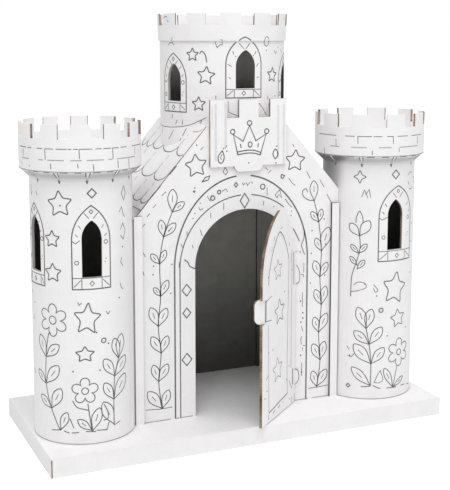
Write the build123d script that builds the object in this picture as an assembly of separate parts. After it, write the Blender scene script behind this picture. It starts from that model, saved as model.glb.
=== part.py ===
from build123d import *
import os
from math import cos, hypot, radians, sin, sqrt, tan

# Tabletop castle folded and cut from white faced corrugated board, with its door standing open.
# Millimetres. The origin is the middle of the underside of the base, the gate faces -Y and +Z is up.
# Angles round a tower are counted from -Y, and grow towards +X.

# Board
board = 4.0  # thickness of the corrugated board
card = 2.0  # thickness of the thin card round the keep's top
glue_gap = 0.2  # clearance where a curved piece is glued to another
fold_gap = 0.4  # clearance where a folded panel tucks in beside another

# Base tray
base_width = 600.0
base_depth = 258.0
base_height = 26.5

# Front wall, house and roof
wall_setback = 74.0  # front edge of the base to the face of the front wall
house_axis = 12.0  # the roof, the crest and the keep stand this far right of the middle
shoulder_width = 325.0  # width of the gable where the shoulders end
shoulder_rise = 301.5  # top of the base to the shoulders
roof_angle = 49.0  # slope of the shoulders and of the roof
roof_rise = 416.5  # top of the base to the flat top of the roof
eave_overhang = 15.0  # roof past the side walls
rear_overhang = 12.0  # roof past the back wall
glue_flange = 22.0  # flaps of the side walls, glued behind the front wall
lap_width = 42.0  # flap of the right side wall, glued inside the back wall

# Gate opening, a half circle on straight jambs
gate_axis = 10.0  # middle of the gate, right of the base's middle
gate_width = 158.0
gate_rise = 297.0  # top of the base to the crown of the arch

# Door leaf, hinged by two glued tabs on the right jamb
leaf_width = 124.0
leaf_height = 298.0
leaf_spring = 205.0  # foot of the leaf to where its pointed top starts
leaf_clearance = 1.0  # leaf above the base
door_open = 41.5  # angle between the leaf and the wall
tab_board = 1.5  # thickness of the crushed hinge tabs
tab_reach = 10.0  # hinge tabs past the jamb
tab_corner = 9.0  # rounding of the hinge tabs
upper_tab_rise = 204.0  # top of the base to the middle of the upper tab
upper_tab_height = 48.0
lower_tab_rise = 37.0
lower_tab_height = 26.0
pull_rise = 165.0  # top of the base to the middle of the pull tab
pull_height = 35.0
pull_notch = 11.0  # depth of the notch that the pull tab is bent out of
pull_length = 17.0
pull_corner = 9.0  # rounding of the pull tab

# Strips over the joints of wall and towers
post_width = 12.0
post_gap = 2.0  # between a strip and its tower
post_rise = 297.0

# Crest plate over the gate
crest_width = 118.0
crest_foot_rise = 359.5  # top of the base to the lower edge of the crest
crest_height = 94.0
crest_notch_width = 18.5
crest_notch_depth = 25.5
crest_notch_pitch = 48.5
crest_tab_width = 45.0
crest_tab_drop = 8.0
crest_tab_corner = 10.0

# Two front towers
tower_inset = 74.0  # sides of the base to the centres of the towers
tower_setback = 98.0  # front edge of the base to the centres of the towers
tower_radius = 69.5
collar_radius = 82.3
collar_rise = 368.5  # top of the base to the lower fold of the collars
collar_height = 42.0  # lower fold to the floor of the notches
corbel_drop = 12.0  # height of the tabs folded in under the collars
merlon_rise = 19.0
deck_drop = 13.0  # floor of the notches to the top of the deck
left_collar_turn = 15.0  # angle of one merlon of the left collar
right_collar_turn = -3.0
left_corbel_turn = 21.0  # angle of one slit between the left collar's corbel tabs
right_corbel_turn = -3.0
corbel_slit_top = 4.5  # width of the slits between corbel tabs, at the fold
corbel_slit_foot = 1.0  # and at the tube
tower_window_width = 26.5
tower_window_sill = 228.0  # top of the base to the sill
tower_window_side = 52.0  # sill to where the pointed top starts
tower_window_point = 24.0  # height of the pointed top
front_window_turn = 5.0  # front windows look this far outwards
side_window_turn = 78.0  # outer windows
side_window_lift = 4.0  # outer windows above the front windows

# Keep
keep_radius = 91.8
keep_band_rise = 535.0  # top of the base to the lower edge of the band
keep_band_height = 22.0
keep_band_flare = 1.6  # band stands off by this at its top
keep_merlon_rise = 16.5
keep_deck_drop = 10.0
keep_collar_turn = -16.0
keep_window_width = 29.0
keep_window_sill = 468.5
keep_window_side = 31.0
keep_window_point = 23.0
keep_window_turn = -2.0
keep_left_turn = -72.0
keep_right_turn = 55.0
keep_side_drop = 19.0  # side windows below the front window

# Battlements
merlon_count = 12  # of the left tower and the keep
merlon_angle = 17.5  # width of a merlon, seen from the centre
right_merlon_count = 10
right_merlon_angle = 20.5

# Places worked out from the sizes above
front_y = -base_depth / 2
wall_y = front_y + wall_setback  # face of the front wall
wall_back_y = wall_y + board
tower_x = base_width / 2 - tower_inset
tower_y = front_y + tower_setback
tower_fit = tower_radius + glue_gap
gate_half = gate_width / 2
jamb_x = gate_axis + gate_half
keep_y = wall_y + glue_gap + keep_radius
house_back_y = keep_y + keep_radius
house_half = tower_x - tower_fit - house_axis
eave_half = house_half + eave_overhang
shoulder_half = shoulder_width / 2
shoulder_z = base_height + shoulder_rise
roof_z = base_height + roof_rise
roof_slope = tan(radians(roof_angle))
roof_flat_half = shoulder_half - (roof_z - shoulder_z) / roof_slope
fold_z = base_height + collar_rise
notch_z = fold_z + collar_height
deck_z = notch_z - deck_drop
keep_band_z = base_height + keep_band_rise
keep_notch_z = keep_band_z + keep_band_height
keep_deck_z = keep_notch_z - keep_deck_drop
full_turn = 360.0


def block(x0, x1, y0, y1, z0, z1):
    """A plain panel between its six planes."""
    panel = Box(x1 - x0, y1 - y0, z1 - z0, align=(Align.MIN, Align.MIN, Align.MIN))
    return Pos(x0, y0, z0) * panel


def upright(outline, y0, y1):
    """A panel cut to an outline in X and Z, between two planes across Y."""
    return extrude(Plane.XZ.offset(-y1) * outline, amount=y1 - y0)


def post(x, y, radius, z0, z1):
    """An upright cylinder."""
    cylinder = Cylinder(radius, z1 - z0, align=(Align.CENTER, Align.CENTER, Align.MIN))
    return Pos(x, y, z0) * cylinder


def tube(x, y, outer, wall, z0, z1):
    """An upright tube."""
    return post(x, y, outer, z0, z1) - post(x, y, outer - wall, z0, z1)


def roof_height(distance, drop=0.0):
    """Height of the sloped surface this far from the house axis, less a drop."""
    return shoulder_z + (shoulder_half - distance) * roof_slope - drop


def under_roof(thickness, half, foot):
    """Outline of all that lies this much under the roof's outer surface."""
    slope_drop = thickness / cos(radians(roof_angle))
    flat_half = roof_flat_half - (slope_drop - thickness) / roof_slope
    points = [
        (house_axis - half, foot),
        (house_axis - half, roof_height(half, slope_drop)),
        (house_axis - flat_half, roof_z - thickness),
        (house_axis + flat_half, roof_z - thickness),
        (house_axis + half, roof_height(half, slope_drop)),
        (house_axis + half, foot),
    ]
    return make_face(Polyline(*points, close=True))


def tower_spaces(clearance):
    """The room that the two front towers take, with a clearance."""
    radius = tower_radius + clearance
    left = post(-tower_x, tower_y, radius, 0, notch_z)
    right = post(tower_x, tower_y, radius, 0, notch_z)
    return left + right


def base_tray():
    """One sheet: a top, four skirts, and a bottom folded in from the front skirt."""
    half_x = base_width / 2
    back_y = base_depth / 2
    outer = block(-half_x, half_x, front_y, back_y, 0, base_height)
    hollow = block(-half_x + board, half_x - board, front_y + board, back_y - board, board, base_height - board)
    side_slit = block(-half_x + board, -half_x + board + fold_gap, front_y + board, back_y - board, 0, board)
    other_slit = block(half_x - board - fold_gap, half_x - board, front_y + board, back_y - board, 0, board)
    back_slit = block(-half_x + board, half_x - board, back_y - board - fold_gap, back_y - board, 0, board)
    tray = outer - hollow - side_slit - other_slit - back_slit
    for x in (-half_x, half_x - board):
        for y in (front_y + board, back_y - board - fold_gap):
            tray -= block(x, x + board, y, y + fold_gap, 0, base_height - board)
    return tray


def gate_outline():
    """The doorway: straight jambs and a half circle."""
    spring = base_height + gate_rise - gate_half
    left = gate_axis - gate_half
    jambs = Polyline((left, spring), (left, 0), (jamb_x, 0), (jamb_x, spring))
    crown = ThreePointArc((jamb_x, spring), (gate_axis, spring + gate_half), (left, spring))
    return make_face(jambs + crown)


def front_wall():
    """One sheet with sloped shoulders, a flat top and the doorway, fitted between the towers."""
    reach = tower_x + abs(house_axis)
    sheet = upright(under_roof(0.0, reach, base_height), wall_y, wall_back_y)
    sheet -= block(-2 * reach, -tower_x, wall_y, wall_back_y, 0, roof_z)
    sheet -= block(tower_x, 2 * reach, wall_y, wall_back_y, 0, roof_z)
    doorway = upright(gate_outline(), wall_y, wall_back_y)
    return sheet - doorway - tower_spaces(glue_gap)


def corner_post(side):
    """A strip glued on the wall beside a tower."""
    face_y = wall_y - board
    chord = sqrt((tower_radius + post_gap) ** 2 - (face_y - tower_y) ** 2)
    inner_x = tower_x - chord - post_width
    strip = block(inner_x, tower_x, face_y, wall_y, base_height, base_height + post_rise)
    if side < 0:
        strip = mirror(strip, about=Plane.YZ)
    return strip - tower_spaces(post_gap)


def house_walls():
    """The space of the house under the roof sheet, and its four wall lines."""
    left = house_axis - house_half
    right = house_axis + house_half
    room = upright(under_roof(board, house_half, base_height), wall_back_y, house_back_y)
    return left, right, room


def house_wall_left():
    """One sheet folded twice: front flange, left side wall and back wall."""
    left, right, room = house_walls()
    side = block(left, left + board, wall_back_y, house_back_y, base_height, roof_z)
    flange = block(left, left + glue_flange, wall_back_y, wall_back_y + board, base_height, shoulder_z)
    back = block(left, right, house_back_y - board, house_back_y, base_height, roof_z)
    return (side + flange + back) & room


def house_wall_right():
    """One sheet folded twice: front flange, right side wall and the lap inside the back wall."""
    left, right, room = house_walls()
    lap_y = house_back_y - board
    side = block(right - board, right, wall_back_y, lap_y, base_height, roof_z)
    flange = block(right - glue_flange, right, wall_back_y, wall_back_y + board, base_height, shoulder_z)
    lap = block(right - board - lap_width, right, lap_y - board, lap_y, base_height, roof_z)
    return (side + flange + lap) & room


def roof_sheet():
    """One sheet folded twice: two slopes with square cut eaves and a flat top."""
    slope_drop = board / cos(radians(roof_angle))
    inner_flat = roof_flat_half - (slope_drop - board) / roof_slope
    in_x = board * sin(radians(roof_angle))
    in_z = board * cos(radians(roof_angle))
    right_half = [
        (roof_flat_half, roof_z),
        (eave_half, roof_height(eave_half)),
        (eave_half - in_x, roof_height(eave_half) - in_z),
        (inner_flat, roof_z - board),
    ]
    left_half = [(-x, z) for x, z in reversed(right_half)]
    points = [(house_axis + x, z) for x, z in right_half + left_half]
    sheet = upright(make_face(Polyline(*points, close=True)), wall_back_y, house_back_y + rear_overhang)
    return sheet - tower_spaces(glue_gap)


def crest_plate():
    """A plate with three merlons and a rounded tab below, glued on the wall over the gate."""
    half = crest_width / 2
    foot = base_height + crest_foot_rise
    top = foot + crest_height
    tab_half = crest_tab_width / 2
    plate = block(house_axis - half, house_axis + half, wall_y - board, wall_y, foot, top)
    tab_face = RectangleRounded(crest_tab_width, 2 * crest_tab_drop + 2 * crest_tab_corner, crest_tab_corner)
    tab_middle = foot + crest_tab_corner
    tab = upright(Pos(house_axis, tab_middle) * tab_face, wall_y - board, wall_y)
    plate += tab
    for offset in (-crest_notch_pitch / 2, crest_notch_pitch / 2):
        middle = house_axis + offset
        notch_half = crest_notch_width / 2
        plate -= block(middle - notch_half, middle + notch_half, wall_y - board, wall_y, top - crest_notch_depth, top)
    return plate


def pointed_outline(width, foot, side, point):
    """Straight sides that meet in a pointed arch, about the upright axis."""
    half = width / 2
    spring = foot + side
    top = spring + point
    arc = (half**2 + point**2) / width
    straight = Polyline((-half, spring), (-half, foot), (half, foot), (half, spring))
    left_arc = RadiusArc((-half, spring), (0, top), arc)
    right_arc = RadiusArc((0, top), (half, spring), arc)
    return make_face(straight + left_arc + right_arc)


def hinge_tab(rise, height):
    """A rounded tab folded flat on the wall beside the jamb."""
    middle = base_height + rise
    low = middle - height / 2
    high = middle + height / 2
    rounded = RectangleRounded(2 * tab_reach, height, tab_corner)
    tab = upright(Pos(jamb_x, middle) * rounded, wall_y - tab_board, wall_y)
    return tab & block(jamb_x - board / 2, jamb_x + tab_reach, wall_y - tab_board, wall_y, low, high)


def door_leaf():
    """The leaf standing open, with its pull tab bent out of a notch and its two hinge tabs."""
    swing = radians(door_open)
    along = Vector(-cos(swing), -sin(swing), 0)
    outward = Vector(sin(swing), -cos(swing), 0)
    hinge = Vector(jamb_x, wall_y - board * cos(swing), 0)
    leaf_plane = Plane(origin=hinge, x_dir=along, z_dir=-outward)
    outline = pointed_outline(leaf_width, base_height + leaf_clearance, leaf_spring, leaf_height - leaf_spring)
    leaf = extrude(leaf_plane * (Pos(leaf_width / 2, 0) * outline), amount=board)
    pull_z = base_height + pull_rise
    notch_middle = leaf_width - pull_notch / 2
    notch = leaf_plane * (Pos(notch_middle, pull_z) * Rectangle(pull_notch, pull_height))
    leaf -= extrude(notch, amount=board)
    root = hinge + along * (leaf_width - pull_notch)
    pull_face = RectangleRounded(2 * pull_length, pull_height, pull_corner)
    pull = upright(Pos(root.X, pull_z) * pull_face, root.Y, root.Y + board)
    leaf += pull & block(root.X - pull_length, root.X, root.Y, root.Y + board, 0, roof_z)
    leaf += hinge_tab(upper_tab_rise, upper_tab_height)
    leaf += hinge_tab(lower_tab_rise, lower_tab_height)
    return leaf


def facing(x, y, turn):
    """A plane on an upright axis that looks outwards at an angle counted from -Y."""
    a = radians(turn)
    return Plane(origin=(x, y, 0), x_dir=(cos(a), sin(a), 0), z_dir=(sin(a), -cos(a), 0))


def window_space(x, y, reach, turn, width, sill, side, point):
    """The room of a window with a pointed top, from the axis outwards."""
    outline = pointed_outline(width, base_height + sill, side, point)
    return extrude(facing(x, y, turn) * outline, amount=reach)


def notch_spaces(x, y, reach, turn, count, angle, z0, z1):
    """The gaps between merlons of an angle, one of which stands at a turn."""
    pitch = full_turn / count
    width = 2 * reach * sin(radians((pitch - angle) / 2))
    gaps = []
    for i in range(count):
        gap_turn = turn + pitch * (i + 0.5)
        outline = Pos(0, (z0 + z1) / 2) * Rectangle(width, z1 - z0)
        gaps.append(extrude(facing(x, y, gap_turn) * outline, amount=2 * reach))
    return gaps


def tower_tube(side):
    """A rolled tube with a front window and one on its outer side."""
    x = side * tower_x
    shell = tube(x, tower_y, tower_radius, board, base_height, deck_z - board)
    for turn, lift in ((front_window_turn, 0.0), (side_window_turn, side_window_lift)):
        shell -= window_space(
            x, tower_y, 2 * tower_radius, side * turn,
            tower_window_width, tower_window_sill + lift, tower_window_side, tower_window_point,
        )
    return shell


def corbel_slits(x, turn, count):
    """The slits between the corbel tabs, narrow at the tube and wide at the fold."""
    low = fold_z - corbel_drop
    high = fold_z - board / 4
    points = [
        (-corbel_slit_foot / 2, low),
        (corbel_slit_foot / 2, low),
        (corbel_slit_top / 2, high),
        (-corbel_slit_top / 2, high),
    ]
    outline = make_face(Polyline(*points, close=True))
    slits = []
    for i in range(count):
        slit_turn = turn + full_turn / count * i
        slits.append(extrude(facing(x, tower_y, slit_turn) * outline, amount=2 * collar_radius))
    return slits


def tower_collar(side, turn, count, angle, slit_turn):
    """One strip rolled to a ring: merlons above, corbel tabs folded in to the tube below."""
    x = side * tower_x
    top = notch_z + merlon_rise
    run = collar_radius - tower_fit
    lean = hypot(run, corbel_drop)
    in_r = board * corbel_drop / lean
    in_z = board * run / lean
    inner = collar_radius - board
    inner_fold = fold_z + in_z - (board - in_r) * corbel_drop / run
    tab_end = fold_z + in_z - (run - in_r) * corbel_drop / run
    section = Polyline(
        (collar_radius, top),
        (collar_radius, fold_z),
        (tower_fit, fold_z - corbel_drop),
        (tower_fit, tab_end),
        (inner, inner_fold),
        (inner, top),
        close=True,
    )
    ring = revolve(Plane.XZ * make_face(section), axis=Axis.Z)
    ring = Pos(x, tower_y, 0) * ring
    notches = notch_spaces(x, tower_y, collar_radius, turn, count, angle, notch_z, top)
    return ring - notches - corbel_slits(x, slit_turn, count)


def tower_deck(side):
    """The round floor inside the battlements, lying on the tube."""
    return post(side * tower_x, tower_y, collar_radius - board - glue_gap, deck_z - board, deck_z)


def keep_tube():
    """The big tube, its foot cut to straddle the roof, with a front, a rear and two side windows."""
    shell = tube(house_axis, keep_y, keep_radius, board, shoulder_z, keep_notch_z)
    shell -= upright(under_roof(0.0, shoulder_half, 0), wall_y - board, house_back_y + board)
    windows = [
        (keep_window_turn, 0.0),
        (keep_left_turn, keep_side_drop),
        (keep_right_turn, keep_side_drop),
        (keep_window_turn + full_turn / 2, 0.0),
    ]
    for turn, drop in windows:
        shell -= window_space(
            house_axis, keep_y, 2 * keep_radius, turn,
            keep_window_width, keep_window_sill - drop, keep_window_side, keep_window_point,
        )
    return shell


def keep_collar():
    """A thin band with merlons, glued round the keep's top and flared a little."""
    inner = keep_radius + glue_gap
    top = keep_notch_z + keep_merlon_rise
    section = Polyline(
        (inner, keep_band_z),
        (inner + card, keep_band_z),
        (inner + card + keep_band_flare, top),
        (inner + keep_band_flare, top),
        close=True,
    )
    ring = revolve(Plane.XZ * make_face(section), axis=Axis.Z)
    ring = Pos(house_axis, keep_y, 0) * ring
    return ring - notch_spaces(
        house_axis, keep_y, inner + card, keep_collar_turn, merlon_count, merlon_angle, keep_notch_z, top,
    )


def keep_deck():
    """The round floor inside the keep's battlements."""
    radius = keep_radius - board - glue_gap
    return post(house_axis, keep_y, radius, keep_deck_z - board, keep_deck_z)


def save(name, piece):
    """Write one piece to its own file."""
    export_step(piece, f"parts/{name}.step")


os.makedirs("parts", exist_ok=True)
save("base_tray", base_tray())
save("front_wall", front_wall())
save("house_wall_left", house_wall_left())
save("house_wall_right", house_wall_right())
save("roof_sheet", roof_sheet())
save("crest_plate", crest_plate())
save("door_leaf", door_leaf())
for name, side in (("left", -1), ("right", 1)):
    save(f"corner_post_{name}", corner_post(side))
    save(f"tower_tube_{name}", tower_tube(side))
    save(f"tower_deck_{name}", tower_deck(side))
left_ring = tower_collar(-1, left_collar_turn, merlon_count, merlon_angle, left_corbel_turn)
right_ring = tower_collar(1, right_collar_turn, right_merlon_count, right_merlon_angle, right_corbel_turn)
save("tower_collar_left", left_ring)
save("tower_collar_right", right_ring)
save("keep_tube", keep_tube())
save("keep_collar", keep_collar())
save("keep_deck", keep_deck())
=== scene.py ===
import bpy
from math import asin, atan2, ceil, cos, degrees, hypot, pi, radians, sin
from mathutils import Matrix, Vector


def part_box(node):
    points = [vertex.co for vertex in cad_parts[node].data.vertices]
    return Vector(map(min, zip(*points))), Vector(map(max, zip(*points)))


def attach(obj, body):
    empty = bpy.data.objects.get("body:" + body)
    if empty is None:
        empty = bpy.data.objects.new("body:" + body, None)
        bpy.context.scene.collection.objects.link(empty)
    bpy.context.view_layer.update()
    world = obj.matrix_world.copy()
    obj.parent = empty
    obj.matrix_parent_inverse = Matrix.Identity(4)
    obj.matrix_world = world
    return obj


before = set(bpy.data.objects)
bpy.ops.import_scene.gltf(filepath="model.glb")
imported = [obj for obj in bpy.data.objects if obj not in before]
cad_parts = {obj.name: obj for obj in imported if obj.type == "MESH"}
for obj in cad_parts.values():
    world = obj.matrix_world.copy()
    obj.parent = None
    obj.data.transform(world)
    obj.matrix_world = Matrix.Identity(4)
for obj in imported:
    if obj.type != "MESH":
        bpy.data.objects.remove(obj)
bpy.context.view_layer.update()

# The dressed castle: white liner, raw kraft edges, insides darkened with painted shade, more painted shade
# and light in places, and printed ornament to colour in.
# Lengths are millimetres unless a name ends in _m. Blender works in metres.
MM = 0.001

# Sizes that the frame gives only by its boxes
BOARD = 4.0
LEAF_OPEN = 41.5  # angle between the door leaf and the wall, degrees
HINGE_TAB_REACH = 10.0  # the leaf's tabs past the jamb
ROOF_ANGLE = 49.0  # slope of the roof, degrees
ROOF_FLAT_HALF = 62.6  # middle of the roof to where it slopes
CORBEL_DROP = 12.0  # height of the tabs folded in under the collars
SLIT_DEPTH = 1.0  # the slits between those tabs show white this deep
LEFT_SLITS = (-69, -39, -9, 21, 51)  # slits between the tabs, degrees from the front
RIGHT_SLITS = (-75, -39, -3, 33)
LAP_FROM_WALL = 35.0  # the back wall's lap ends further in than this from the front wall's ends
PRINT_LIFT = 0.12  # ink above the board
FOOT_SHADOW_RISE = 0.9  # painted shadow lines at the feet of the wall and the towers, above the base
TAB_THICKNESS = 1.5  # the leaf's hinge tabs are crushed to this
FLUTE_PITCH_M = 0.0075  # flutes that show through a liner
CELL_PITCH_M = 0.0041  # cells seen in a raw edge
WAVE_PERIOD = pi / 10  # from band to band of Blender's wave texture at scale 1

# Longest straight piece of a printed line, by surface
FLAT_SPAN, ROOF_SPAN, ROUND_SPAN, CONE_SPAN = 30.0, 12.0, 5.0, 4.0

# Line widths of the print
BOLD, PLAIN, SLIM, FINE = 2.2, 1.6, 1.3, 1.0

# Camera, found from the photograph, in the castle's frame
CAMERA_PLACE = (-613.74, -1414.84, 565.84)
CAMERA_YAW = 23.48
CAMERA_PITCH = 7.92
CAMERA_LENS = 77.8
CAMERA_SENSOR = 36.0
CAMERA_SHIFT_Y = -0.1224

# Stage and light
FLOOR_HALF_M = 6.0
CAMERA_END_M = 50.0
LIGHT_SIZE_M = 2.0
WORLD_LEVEL = 0.73


def corners(node):
    """Lowest and highest corner of a node, in millimetres."""
    low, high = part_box(node)
    return low / MM, high / MM


# Places read from the frame
wall_low, wall_high = corners("front_wall")
crest_low, crest_high = corners("crest_plate")
roof_low, roof_high = corners("roof_sheet")
leaf_high = corners("door_leaf")[1]
HOUSE_AXIS = (crest_low.x + crest_high.x) / 2
WALL_FACE = wall_low.y
TAB_FACE = WALL_FACE - TAB_THICKNESS


def axis_of(node):
    """Centre in X and Y, and outer radius, of a round node."""
    low, high = corners(node)
    return (low.x + high.x) / 2, (low.y + high.y) / 2, (high.x - low.x) / 2


def add_object(name, data):
    """A new object in the scene."""
    thing = bpy.data.objects.new(name, data)
    bpy.context.scene.collection.objects.link(thing)
    return thing


# Materials

def feed(tree, node, inputs):
    """Set a node's inputs to values, or link them to sockets."""
    for name, value in inputs.items():
        if isinstance(value, bpy.types.NodeSocket):
            tree.links.new(value, node.inputs[name])
        else:
            node.inputs[name].default_value = value


def add_node(tree, kind, inputs=None, **settings):
    """A new node with its settings and inputs."""
    node = tree.nodes.new("ShaderNode" + kind)
    for name, value in settings.items():
        setattr(node, name, value)
    feed(tree, node, inputs or {})
    return node


def calculate(tree, operation, first, second):
    """A math node's result."""
    return add_node(tree, "Math", {0: first, 1: second}, operation=operation).outputs[0]


def new_material(name, roughness, specular):
    """A material, its node tree and its Principled node."""
    material = bpy.data.materials.new(name)
    material.use_nodes = True
    tree = material.node_tree
    shader = tree.nodes["Principled BSDF"]
    feed(tree, shader, {"Roughness": roughness, "Specular IOR Level": specular})
    return material, tree, shader


def object_place(tree):
    """Coordinates in the castle's own frame, in metres."""
    return add_node(tree, "TexCoord").outputs["Object"]


def noise(tree, place, scale, detail=3.0, roughness=0.55):
    """A noise texture's factor."""
    inputs = {"Vector": place, "Scale": scale, "Detail": detail, "Roughness": roughness}
    return add_node(tree, "TexNoise", inputs).outputs["Fac"]


def ramp(tree, factor, stops):
    """A colour ramp's colour; stops are (place, colour)."""
    node = add_node(tree, "ValToRGB", {"Fac": factor})
    elements = node.color_ramp.elements
    while len(elements) < len(stops):
        elements.new(0.5)
    for element, (place, colour) in zip(elements, stops):
        element.position = place
        element.color = (*colour, 1.0)
    return node.outputs["Color"]


def bump(tree, height, strength, distance, below=None):
    """A bump node's normal, on top of the one below."""
    inputs = {"Strength": strength, "Distance": distance, "Height": height}
    if below is not None:
        inputs["Normal"] = below
    return add_node(tree, "Bump", inputs).outputs["Normal"]


def flute_waves(tree, place, axis, pitch_m):
    """The flutes under the liner, as soft parallel bands across one axis."""
    scale = WAVE_PERIOD / pitch_m
    inputs = {"Vector": place, "Scale": scale, "Distortion": 0.6, "Detail": 1.0, "Detail Scale": 0.4}
    return add_node(tree, "TexWave", inputs, bands_direction=axis).outputs["Fac"]


def around_axis(tree, place, x_m, y_m, radius_m):
    """Coordinates wrapped round an upright axis: arc length, 0, height."""
    parts = add_node(tree, "SeparateXYZ", {0: place}).outputs
    offsets = [calculate(tree, "SUBTRACT", parts[axis], middle) for axis, middle in (("X", x_m), ("Y", y_m))]
    arc = calculate(tree, "MULTIPLY", calculate(tree, "ARCTAN2", *offsets), radius_m)
    return add_node(tree, "CombineXYZ", {"X": arc, "Z": parts["Z"]}).outputs[0]


def ease(tree, value, start, end):
    """0 to 1 as a value goes from start to end."""
    inputs = {"Value": value, "From Min": start, "From Max": end}
    return add_node(tree, "MapRange", inputs, interpolation_type="SMOOTHSTEP").outputs["Result"]


def multiplied(tree, first, second, share=1.0):
    """Two colours multiplied, the second one by a share."""
    if isinstance(second, tuple):
        second = (*second, 1.0)
    inputs = {"A": first, "B": second, "Factor": share}
    return add_node(tree, "Mix", inputs, data_type="RGBA", blend_type="MULTIPLY").outputs["Result"]


def zone(tree, place, limits):
    """0 to 1 as each stated coordinate goes from its first limit to its second, in mm."""
    parts = add_node(tree, "SeparateXYZ", {0: place}).outputs
    share = 1.0
    for axis, start, end in limits:
        share = calculate(tree, "MULTIPLY", share, ease(tree, parts[axis], start * MM, end * MM))
    return share


def liner(name, tone, flute_axis="X", flute_depth=0.25, wrap=None, shades=()):
    """White faced board: mottling, soft dents, paper fibres and the flutes showing through."""
    material, tree, shader = new_material(name, roughness=0.62, specular=0.3)
    place = object_place(tree)
    along = place if wrap is None else around_axis(tree, place, *wrap)
    dark = tuple(0.96 * c for c in tone)
    colour = ramp(tree, noise(tree, along, scale=24.0, detail=4.0), [(0.3, dark), (0.62, tone)])
    # painted shade and light, multiplied in over each zone given
    for shade_tone, limits in shades:
        colour = multiplied(tree, colour, shade_tone, zone(tree, place, limits))
    dents = noise(tree, along, scale=22.0, roughness=0.45)
    waves = flute_waves(tree, along, flute_axis, FLUTE_PITCH_M)
    fibres = noise(tree, along, scale=900.0, detail=2.0)
    normal = bump(tree, dents, strength=0.62, distance=0.005)
    normal = bump(tree, waves, flute_depth, distance=0.0003, below=normal)
    normal = bump(tree, fibres, strength=0.12, distance=0.0002, below=normal)
    feed(tree, shader, {"Base Color": colour, "Normal": normal})
    return material


def kraft_edge(name, wave_axis, browns):
    """A cut edge of corrugated board: browns in patches, with the flutes' faint cells."""
    material, tree, shader = new_material(name, roughness=0.85, specular=0.15)
    place = object_place(tree)
    cells = flute_waves(tree, place, wave_axis, CELL_PITCH_M)
    patches = noise(tree, place, scale=46.0, detail=4.0, roughness=0.6)
    tone = ramp(tree, patches, list(zip((0.34, 0.52, 0.7), browns)))
    cell_tone = ramp(tree, cells, [(0.2, (0.86, 0.84, 0.82)), (0.65, (1.0, 1.0, 1.0))])
    normal = bump(tree, cells, strength=0.3, distance=0.0004)
    feed(tree, shader, {"Base Color": multiplied(tree, tone, cell_tone), "Normal": normal})
    return material


def inside_painted_shading(name, tones, heights_m):
    """The inside of the house and the tubes, in greys of painted shade and light: from its low tone at the
    bottom to its high one higher up.
    """
    material, tree, shader = new_material(name, roughness=0.8, specular=0.2)
    place = object_place(tree)
    height = add_node(tree, "SeparateXYZ", {0: place}).outputs["Z"]
    tone = ramp(tree, ease(tree, height, *heights_m), list(zip((0.0, 1.0), tones)))
    mottle = noise(tree, place, scale=60.0, detail=5.0)
    patches = ramp(tree, mottle, [(0.3, (0.84, 0.84, 0.82)), (0.7, (1.0, 1.0, 1.0))])
    normal = bump(tree, noise(tree, place, scale=700.0, detail=2.0), strength=0.2, distance=0.0002)
    feed(tree, shader, {"Base Color": multiplied(tree, tone, patches), "Normal": normal})
    return material


def grey_ink_and_shade(name, dark, pale):
    """Grey that lies a little uneven on the paper: print, and also painted shade."""
    material, tree, shader = new_material(name, roughness=0.6, specular=0.3)
    place = object_place(tree)
    greys = [(grey, grey, 1.02 * grey) for grey in (dark, pale)]
    colour = ramp(tree, noise(tree, place, scale=260.0), list(zip((0.3, 0.75), greys)))
    normal = bump(tree, noise(tree, place, scale=900.0, detail=2.0), strength=0.1, distance=0.0002)
    feed(tree, shader, {"Base Color": colour, "Normal": normal})
    return material


WHITE = (0.862, 0.852, 0.858)
# Pale cut edges; in the collars' slits this pale colour is painted light in their shade
PALE_CUT_EDGE = (0.80, 0.765, 0.735)
# Mid grey on the side windows' reveals: painted light, as of a lit inside seen through them
REVEAL = (0.50, 0.49, 0.475)
# Near black: painted shade on the posts' side edges, the house's lap end and the keep's far reveals
EDGE_PAINTED_SHADE = (0.05, 0.047, 0.044)
EDGE_BROWNS = ((0.17, 0.105, 0.07), (0.34, 0.24, 0.18), (0.52, 0.42, 0.345))
SLOPE_BROWNS = ((0.24, 0.18, 0.14), (0.42, 0.34, 0.285), (0.58, 0.50, 0.44))
LEAF_BROWNS = ((0.09, 0.055, 0.032), (0.19, 0.13, 0.085), (0.36, 0.28, 0.21))
# Greys of the insides, low and high: painted shade, darker towards the bottom; the keep's high grey is
# painted light
HOUSE_INSIDE_SHADE_GREYS = ((0.085, 0.085, 0.079), (0.66, 0.66, 0.632))
KEEP_INSIDE_LIGHT_AND_SHADE = ((0.27, 0.27, 0.255), (0.9, 0.9, 0.88))
TOWER_INSIDE_SHADE_GREYS = ((0.16, 0.16, 0.152), (0.26, 0.26, 0.248))
white_x = liner("liner_across_x", WHITE, "X")
white_y = liner("liner_across_y", WHITE, "Y")
kraft_x = kraft_edge("kraft_edge_x", "X", SLOPE_BROWNS)
kraft_z = kraft_edge("kraft_edge_z", "Z", EDGE_BROWNS)
leaf_edge = kraft_edge("kraft_edge_leaf", "Z", LEAF_BROWNS)
pale_cut_edge = liner("pale_cut_edge", PALE_CUT_EDGE, "X", flute_depth=0.4)
pale_reveal = liner("pale_reveal", REVEAL, "Z", flute_depth=0.4)
edge_painted_shade = liner("edge_painted_shade", EDGE_PAINTED_SHADE, "Z", flute_depth=0.4)
# Insides with painted shade, and the keep's also with painted light near its top
house_inside = inside_painted_shading("inner_liner_house", HOUSE_INSIDE_SHADE_GREYS, heights_m=(0.0, 0.34))
keep_inside = inside_painted_shading("inner_liner_keep", KEEP_INSIDE_LIGHT_AND_SHADE, heights_m=(0.475, 0.53))
tower_inside = inside_painted_shading("inner_liner_tower", TOWER_INSIDE_SHADE_GREYS, heights_m=(0.25, 0.40))
ink_grey = grey_ink_and_shade("ink_grey", dark=0.08, pale=0.19)
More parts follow.
